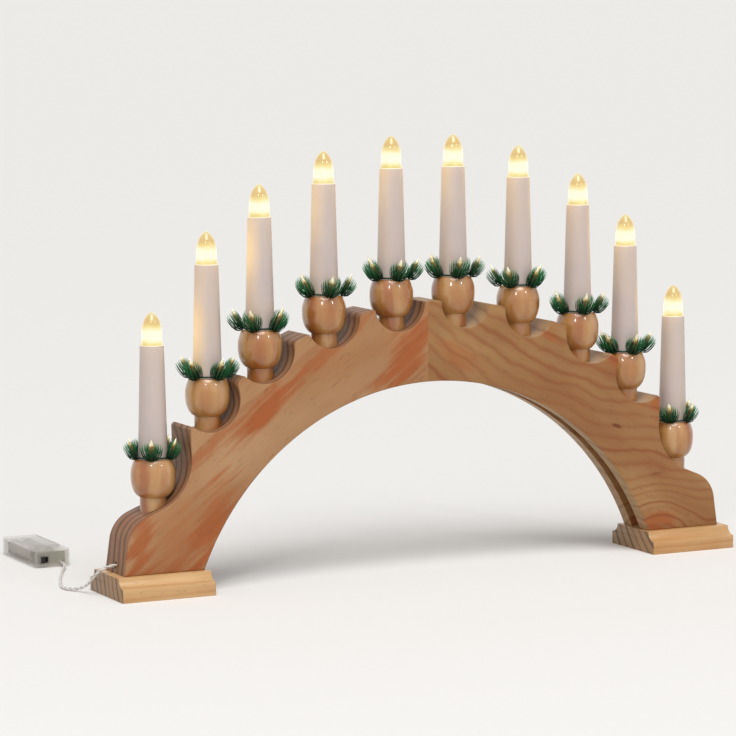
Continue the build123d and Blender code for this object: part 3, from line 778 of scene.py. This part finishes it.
def makeFeet():
    clearSelection()
    bpy.ops.mesh.primitive_cube_add(size=1, location=(0, 0, foot["band"] / 2),
                                    scale=(foot["length"], foot["depth"], foot["band"]))
    form = bpy.context.object
    bpy.ops.object.transform_apply(location=True, scale=True)
    pickFaces(form, lambda face: face.normal.z > 0.9)
    half, high = foot["depth"] / 2, foot["band"]
    for step in range(1, foot["steps"] + 1):
        swing = pi / 2 * step / foot["steps"]
        nextHalf = foot["depth"] / 2 - foot["coveDeep"] * sin(swing)
        nextHigh = foot["band"] + foot["coveHigh"] * (1 - cos(swing))
        bpy.ops.mesh.extrude_region_move(TRANSFORM_OT_translate={"value": (0, 0, nextHigh - high)})
        bpy.ops.transform.resize(value=(1, nextHalf / half, 1))
        half, high = nextHalf, nextHigh
    bpy.ops.object.mode_set(mode="OBJECT")
    edges = form.modifiers.new("edges", "BEVEL")
    edges.width = foot["edge"]
    edges.segments = 2
    edges.limit_method = "ANGLE"
    edges.angle_limit = radians(foot["crease"])
    bpy.ops.object.modifier_apply(modifier="edges")
    tallyEnds(form, lambda normal: abs(normal.x))
    for side, wood in (("left", footPine), ("right", otherFootPine)):
        spot = topMiddle(*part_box(side + "_foot"))
        piece = placeCopy(form, side + "FootBlock", Matrix.Translation((spot.x, spot.y, 0)))
        giveFinish(piece, pineFinish(side + "FootPine", wood))
        finishForm(piece, foot["crease"])
        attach(piece, "arch")
        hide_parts(side + "_foot")
    bpy.data.objects.remove(form)
    print("feet made")


makeFeet()


# a smooth line through points, each with the way that the line runs there; all in mm
def smoothLine(points, steps=7):
    line = []
    for (place, way), (nextPlace, nextWay) in zip(points, points[1:]):
        first, last = Vector((*place, 0)), Vector((*nextPlace, 0))
        third = (last - first).length / 3
        leave = first + Vector((*way, 0)).normalized() * third
        arrive = last - Vector((*nextWay, 0)).normalized() * third
        run = interpolate_bezier(first, leave, arrive, last, steps)
        line += run if not line else run[1:]
    return [(spot.x, spot.y) for spot in line]


candle = {
    # profiles as (radius, height above the ball's top), in mm
    "neck": [(2.5, -47.7), (9.2, -47.7), (9.8, -47.1), (9.8, -28.0)],
    "belly": [((9.8, -27.7), (1, 0.45)), ((14.9, -21.45), (0.36, 1)), ((16.3, -12.7), (0.0, 1)),
              ((15.68, -6.1), (-0.31, 1)), ((13.25, -0.25), (-0.75, 1))],
    "cup": [(12.95, 0.0), (11.2, 0.0), (11.03, -0.2), (11.03, -5.0), (2.5, -5.0)],
    "foot": [(9.68, -5.0), (10.88, -5.0)],
    "wall": [((10.76, -0.3), (-0.026, 1)), ((8.63, 81.65), (-0.026, 1))],
    "rim": [(8.55, 82.02), (8.3, 82.25), (8.05, 82.3), (7.5, 82.3), (7.4, 82.2), (9.68, -5.0)],
    "skirt": [(6.5, 76.3), (7.3, 76.3), (7.3, 82.3), (7.75, 82.3), (7.9, 82.45), (7.9, 83.15), (7.75, 83.3)],
    "flame": [((7.35, 83.3), (0.1, 1)), ((7.5, 89.3), (-0.02, 1)), ((6.3, 97.4), (-0.24, 1)),
              ((3.68, 102.9), (-0.8, 1)), ((0.25, 105.7), (-1, 0.12))],
    "rimHeight": 0.0823, "tipHeight": 0.1057, "paintedGlowFrom": 0.035, "paintedGlowReach": 0.034, "turn": 1.7,
}


def inMetres(line):
    return [(across / 1000, up / 1000) for across, up in line]


def tallyRise(form):
    rise = form.data.attributes.new("rise", "FLOAT", "POINT")
    for vertex in form.data.vertices:
        rise.data[vertex.index].value = vertex.co.z
    return form


def sleeveFinish():
    finish, tree, shader = newFinish("sleeveWhiteWithPaintedGlow", IOR=1.46, Subsurface_Weight=0.25, Subsurface_Scale=1.0,
                                     Subsurface_Radius=(0.004, 0.0025, 0.0018), Emission_Strength=0.5)
    coords = addCoords(tree)
    cloud = addNoise(tree, coords, 38.0, 3.0)[0]
    rise = addTally(tree, "rise")
    rimHeight = candle["rimHeight"]
    stops = [(0.3, tint(192, 178, 174)), (0.5, tint(197, 182, 176)), (0.7, tint(200, 182, 170))]
    colour = addRamp(tree, cloud, stops)
    # painted light: the sleeve turns warmer towards its top, where its own bulb shines through
    warm = addRange(tree, rise, 0.0, 0.6, candle["paintedGlowFrom"], rimHeight)
    colour = addMix(tree, warm, colour, tint(210, 193, 178))
    # painted highlight: a pale line at the rim, where the bulb lights it
    rim = addRange(tree, rise, 0.0, 1.0, rimHeight - 0.0007, rimHeight - 0.0003)
    colour = addMix(tree, rim, colour, tint(250, 240, 214))
    tree.links.new(colour, shader.inputs["Base Color"])
    # painted light: the glow tally makes the sleeve glow warm through its emission
    glow = addRamp(tree, addTally(tree, "glow"), [(0.0, grey(0)), (1.0, tint(255, 204, 92))])
    tree.links.new(glow, shader.inputs["Emission Color"])
    fine = addNoise(tree, coords, 700.0, 2.0)[0]
    setRough(tree, shader, fine, 0.3, 0.44)
    setBump(tree, shader, fine, 0.03, 0.0003)
    return finish


# painted light: warm glow painted on a sleeve where the bulbs beside it would light it, 0 to 1
def tallyPaintedGlow(piece, number):
    glow = piece.data.attributes.new("glow", "FLOAT", "POINT")
    beside = [other for other in numbers if abs(int(other) - int(number)) == 1]
    lights = [sum(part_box("bulb_" + other), Vector()) / 2 for other in beside]
    for vertex in piece.data.vertices:
        level = 0
        for light in lights:
            way = light - vertex.co
            facing = max(0, vertex.normal.dot(way.normalized()))
            level += facing * (candle["paintedGlowReach"] / way.length) ** 2
        glow.data[vertex.index].value = min(level, 1)


# the bulb glows nearly white round its light, amber above it and pale at its tip
def bulbFinish():
    finish, tree, shader = newFinish("bulbGlow", IOR=1.45, Roughness=0.08, Coat_Weight=0.5,
                                     Coat_Roughness=0.04, Emission_Strength=0.82)
    rise = addTally(tree, "rise")
    level = addRange(tree, rise, 0.0, 1.0, candle["rimHeight"], candle["tipHeight"])
    cloud = addNoise(tree, addCoords(tree), 150.0, 2.0)[0]
    sway = addMath(tree, "MULTIPLY", addMath(tree, "SUBTRACT", cloud, 0.5), 0.22)
    glow = addRamp(tree, addMath(tree, "ADD", level, sway), [
        (0.0, tint(218, 196, 116)), (0.09, tint(244, 232, 168)), (0.2, tint(252, 250, 228)),
        (0.42, tint(250, 248, 216)), (0.56, tint(234, 212, 132)), (0.70, tint(212, 174, 96)),
        (0.86, tint(222, 192, 118)), (1.0, tint(240, 230, 176))])
    tree.links.new(glow, shader.inputs["Emission Color"])
    stops = [(0.0, tint(132, 116, 72)), (0.3, tint(150, 142, 112)), (1.0, tint(98, 80, 48))]
    tree.links.new(addRamp(tree, level, stops), shader.inputs["Base Color"])
    return finish


def makeCandles():
    ball = candle["neck"] + smoothLine(candle["belly"]) + candle["cup"]
    holder = turnForm("holder", inMetres(ball), 56)
    wall = candle["foot"] + smoothLine(candle["wall"], 15) + candle["rim"]
    sleeve = tallyRise(turnForm("sleeve", inMetres(wall), 48, closed=False))
    bulb = candle["skirt"] + smoothLine(candle["flame"], 8)
    flame = tallyRise(turnForm("flame", inMetres(bulb), 40))
    kinds = (
        (holder, "ballHolder", "holder_", pineFinish("ballPine", ballPine), "turned_pine"),
        (sleeve, "candleSleeve", "candle_", sleeveFinish(), "sleeve_white"),
        (flame, "flameBulb", "bulb_", bulbFinish(), "bulb_warm"),
    )
    for form, name, node, finish, slot in kinds:
        form.data.materials.append(finish)
        finishForm(form, 40)
        for number in numbers:
            place = Matrix.Translation(topMiddle(*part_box("holder_" + number)))
            turn = Matrix.Rotation(int(number) * candle["turn"], 4, "Z")
            piece = placeCopy(form, name + number, place @ turn)
            if form == sleeve:
                tallyPaintedGlow(piece, number)
            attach(piece, "arch")
            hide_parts(node + number)
        bpy.data.objects.remove(form)
    print("candles made")


makeCandles()

# needle rings: a wire ring with five tufts, each a pointed bud in a round cup of needles
ring = {
    "wire": (0.0123, 0.0006), "lift": 0.00147, "rise": 60, "tufts": 5, "facing": -116.5,
    "turns": (0, 36, -18, 20, 21, 15, -25, 17, 24, -14),
    # needles of a row: how many, its turn, and the line of one as (out, up, thickness) in mm
    "rows": [
        (17, 0.0, [(0.8, -0.6, 0.27), (3.2, -0.8, 0.31), (5.4, 0.8, 0.32), (6.9, 4.2, 0.29),
                   (7.5, 7.6, 0.24), (7.7, 10.6, 0.07)]),
        (15, 0.5, [(0.8, -0.1, 0.27), (3.0, 0.6, 0.31), (5.0, 2.9, 0.32), (6.1, 6.4, 0.29),
                   (6.5, 9.6, 0.23), (6.6, 12.6, 0.07)]),
        (12, 0.2, [(0.8, 0.4, 0.27), (2.6, 2.0, 0.31), (4.1, 5.2, 0.31), (5.0, 8.8, 0.26),
                   (5.2, 13.3, 0.07)]),
        (8, 0.7, [(0.8, 0.9, 0.27), (2.4, 3.6, 0.31), (3.4, 7.2, 0.30), (3.8, 10.6, 0.25),
                  (3.7, 13.8, 0.07)]),
    ],
    "bud": [(0.95, -0.8), (1.6, 1.0), (2.1, 3.8), (2.5, 7.4), (2.35, 10.0), (1.7, 12.6), (0.9, 14.8),
            (0.15, 16.6)],
    "inner": 0.3, "tuftTurn": 1.3, "scale": (1, 1, 1), "height": 0.0136,
    "endScale": (0.84, 1.04, 0.92), "endRise": 68,
}


def needleRow(count, shift, line):
    clearSelection()
    spots = [Vector((out, 0, up)) / 1000 for out, up, thick in line]
    leans = [atan2((b - a).x, (b - a).z) for a, b in zip(spots, spots[1:])]
    leans = [leans[0]] + [(a + b) / 2 for a, b in zip(leans, leans[1:])] + [leans[-1]]
    thick = line[0][2]
    bpy.ops.mesh.primitive_circle_add(vertices=3, radius=thick / 1000, fill_type="NGON",
                                      location=spots[0])
    row = bpy.context.object
    bpy.ops.object.transform_apply(location=True)
    bpy.ops.object.mode_set(mode="EDIT")
    bpy.ops.mesh.select_mode(type="VERT")
    bpy.ops.mesh.select_all(action="SELECT")
    bpy.ops.transform.rotate(value=-leans[0], orient_axis="Y", center_override=spots[0])
    for k in range(1, len(spots)):
        bpy.ops.mesh.extrude_region_move(TRANSFORM_OT_translate={"value": spots[k] - spots[k - 1]})
        bpy.ops.transform.rotate(value=leans[k - 1] - leans[k], orient_axis="Y", center_override=spots[k])
        size = line[k][2] / thick
        bpy.ops.transform.resize(value=(size, size, size), center_override=spots[k])
        thick = line[k][2]
    bpy.ops.mesh.select_all(action="SELECT")
    bpy.ops.mesh.spin(steps=count - 1, dupli=True, angle=2 * pi * (count - 1) / count,
                      center=(0, 0, 0), axis=(0, 0, 1))
    bpy.ops.mesh.select_all(action="SELECT")
    bpy.ops.transform.rotate(value=2 * pi * shift / count, orient_axis="Z", center_override=(0, 0, 0))
    bpy.ops.mesh.normals_make_consistent(inside=False)
    bpy.ops.object.mode_set(mode="OBJECT")
    return tallyRise(row)


def tuftFinish(name, rough, stops, **sockets):
    finish, tree, shader = newFinish(name, **sockets)
    cloud = addNoise(tree, addCoords(tree), 420.0, 3.0)[0]
    level = addRange(tree, addTally(tree, "rise"), 0.0, 1.0, 0.0, ring["height"])
    sway = addMath(tree, "MULTIPLY", addMath(tree, "SUBTRACT", cloud, 0.5), 0.5)
    colour = addRamp(tree, addMath(tree, "ADD", level, sway), stops)
    tree.links.new(colour, shader.inputs["Base Color"])
    setRough(tree, shader, cloud, rough - 0.06, rough + 0.1)
    return finish


def needleFinish():
    stops = [(0.0, tint(6, 46, 26)), (0.4, tint(10, 76, 40)), (0.72, tint(22, 106, 56)),
             (1.0, tint(84, 156, 104))]
    return tuftFinish("needleGreen", 0.48, stops, Specular_IOR_Level=0.3)


def budFinish():
    # bronze, darker towards the base, with a near-white painted glint at the tip
    stops = [(0.0, tint(60, 42, 26)), (0.55, tint(100, 64, 36)), (0.78, tint(150, 108, 58)),
             (0.9, tint(228, 204, 136)), (1.0, tint(252, 246, 214))]
    return tuftFinish("budBronzeWithPaintedGlint", 0.26, stops, Metallic=0.35)


def makeRing(name, size, rise, green, bronzeAndGlint):
    parts = []
    for count, shift, line in ring["rows"]:
        row = needleRow(count, shift, line)
        row.data.materials.append(green)
        parts.append(row)
    bud = tallyRise(turnForm("bud", inMetres(ring["bud"]), 8))
    bud.data.materials.append(bronzeAndGlint)
    tuft = joinPieces([bud] + parts, "tuft")
    clearSelection()
    bpy.ops.mesh.primitive_torus_add(major_radius=ring["wire"][0], minor_radius=ring["wire"][1],
                                     major_segments=60, minor_segments=8)
    wire = tallyRise(bpy.context.object)
    wire.data.transform(Matrix.Translation((0, 0, ring["lift"])))
    wire.data.materials.append(green)
    whole = [wire]
    lean = Matrix.Rotation(radians(90 - rise), 4, "Y")
    out = Matrix.Translation((ring["wire"][0], 0, ring["lift"]))
    for step in range(ring["tufts"]):
        copy = placeCopy(tuft, "tuft", Matrix.Rotation(step * ring["tuftTurn"], 4, "Z"))
        selectOnly(copy)
        bpy.ops.object.mode_set(mode="EDIT")  # the half beside the candle is pressed flat
        bpy.ops.mesh.select_mode(type="VERT")
        bpy.ops.mesh.select_all(action="DESELECT")
        bpy.ops.object.mode_set(mode="OBJECT")
        for vertex in copy.data.vertices:
            vertex.select = vertex.co.x < 0
        bpy.ops.object.mode_set(mode="EDIT")
        bpy.ops.transform.resize(value=(ring["inner"], 1, 1), center_override=(0, 0, 0))
        bpy.ops.object.mode_set(mode="OBJECT")
        place = Matrix.Rotation(2 * pi * step / ring["tufts"], 4, "Z") @ out
        copy.data.transform(place @ lean @ Matrix.Diagonal((*size, 1)))
        whole.append(copy)
    bpy.data.objects.remove(tuft)
    whole = joinPieces(whole, name)
    selectOnly(whole)
    bpy.ops.object.shade_smooth()
    return whole


def makeRings():
    green, bronzeAndGlint = needleFinish(), budFinish()
    full = makeRing("needleRing", ring["scale"], ring["rise"], green, bronzeAndGlint)
    # the end rings are steeper, to clear the boards
    small = makeRing("endRing", ring["endScale"], ring["endRise"], green, bronzeAndGlint)
    for k, number in enumerate(numbers):
        place = Matrix.Translation(topMiddle(*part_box("holder_" + number)))
        turn = Matrix.Rotation(radians(ring["facing"] + ring["turns"][k]), 4, "Z")
        piece = placeCopy(small if k in (0, 9) else full, "needleRing" + number, place @ turn)
        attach(piece, "ring_" + number)
        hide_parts("candle_ring_" + number)
    bpy.data.objects.remove(full)
    bpy.data.objects.remove(small)
    print("needle rings made")


makeRings()
